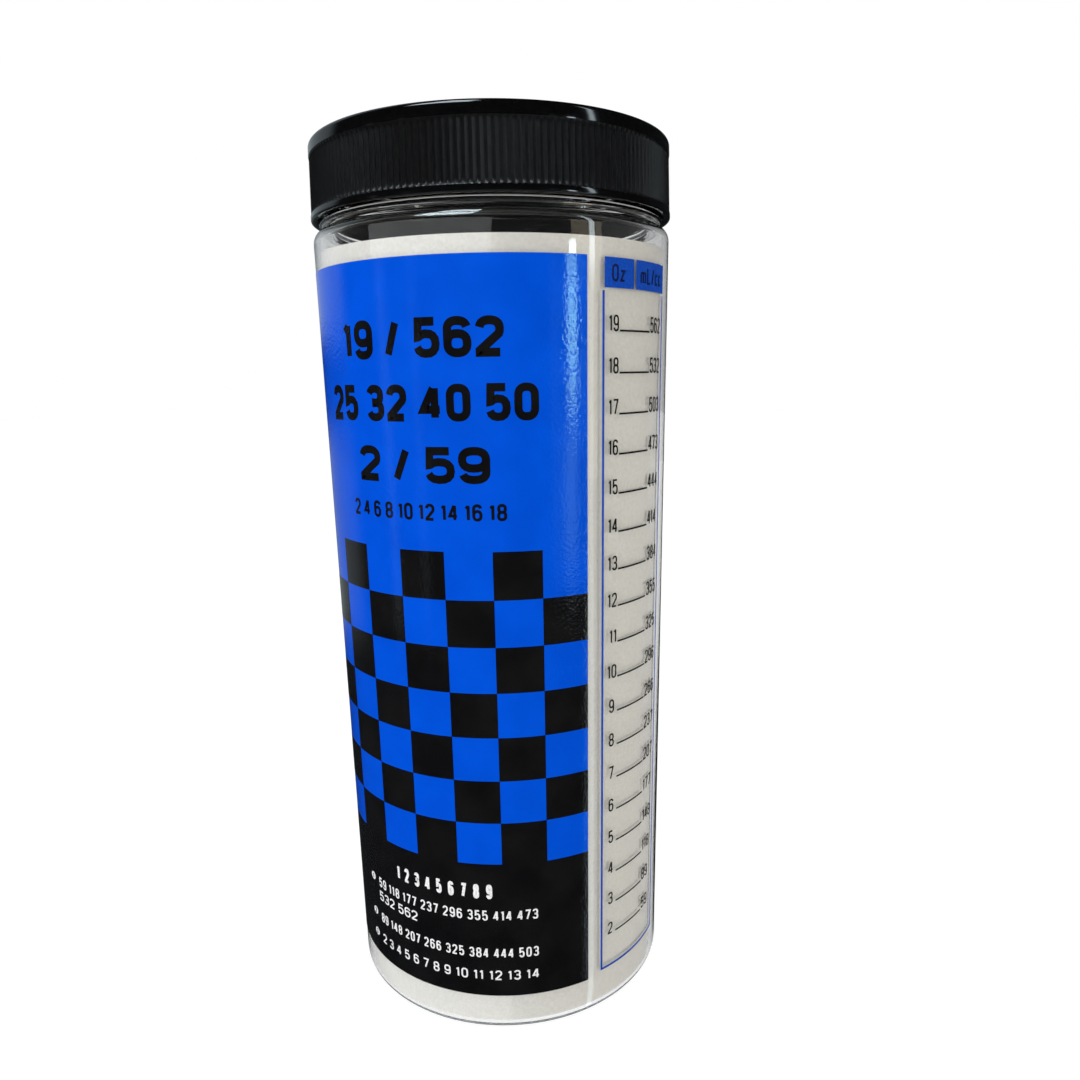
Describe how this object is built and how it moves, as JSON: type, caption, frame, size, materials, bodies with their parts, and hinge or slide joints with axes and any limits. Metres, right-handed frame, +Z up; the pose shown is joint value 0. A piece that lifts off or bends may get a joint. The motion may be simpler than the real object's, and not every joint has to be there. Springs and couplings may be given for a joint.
{
  "type": "fuel mixing bottle",
  "caption": "Clear wide-mouthed measuring bottle with a ribbed black screw cap, a checkerboard label, a printed volume scale and a rolled white sheet inside.",
  "frame": {"origin": "middle of the flat resting ring under the bottle, on the surface it stands on", "axes": "+Z up along the bottle's axis; the middle of the label faces -Y, and the scale is towards +X"},
  "size_m": [0.0734, 0.0734, 0.1822],
  "materials": {
    "clear_plastic": "clear, glossy",
    "cap_plastic": "satin gloss",
    "liner_foam": "matte dark foam",
    "white_paper": "matte white paper",
    "label_film": "glossy blue film",
    "black_ink": "glossy black print",
    "blue_ink": "satin blue print"
  },
  "bodies": {
    "bottle": {"bottle": "clear_plastic", "paper_insert": "white_paper", "front_label": "label_film", "label_black_print": "black_ink", "scale_frame": "blue_ink", "scale_head_oz": "blue_ink", "scale_head_ml": "blue_ink", "tick_02": "black_ink", "tick_03": "black_ink", "tick_04": "black_ink", "tick_05": "black_ink", "tick_06": "black_ink", "tick_07": "black_ink", "tick_08": "black_ink", "tick_09": "black_ink", "tick_10": "black_ink", "tick_11": "black_ink", "tick_12": "black_ink", "tick_13": "black_ink", "tick_14": "black_ink", "tick_15": "black_ink", "tick_16": "black_ink", "tick_17": "black_ink", "tick_18": "black_ink", "tick_19": "black_ink"},
    "liner": {"cap_liner": "liner_foam"},
    "cap": {"cap": "cap_plastic"}
  },
  "joints": [
    {"name": "cap_lift", "type": "slide", "parent": "bottle", "child": "liner", "axis": [0, 0, 1], "range_m": [0, 0.00614]},
    {"name": "cap_turn", "type": "hinge", "parent": "liner", "child": "cap", "pos_m": [0, 0, 0.175], "axis": [0, 0, 1], "range_deg": [0, 522]}
  ],
  "couplings": [
    {"joint": "cap_lift", "follows": "cap_turn", "m_per_rad": 0.00067376}
  ]
}
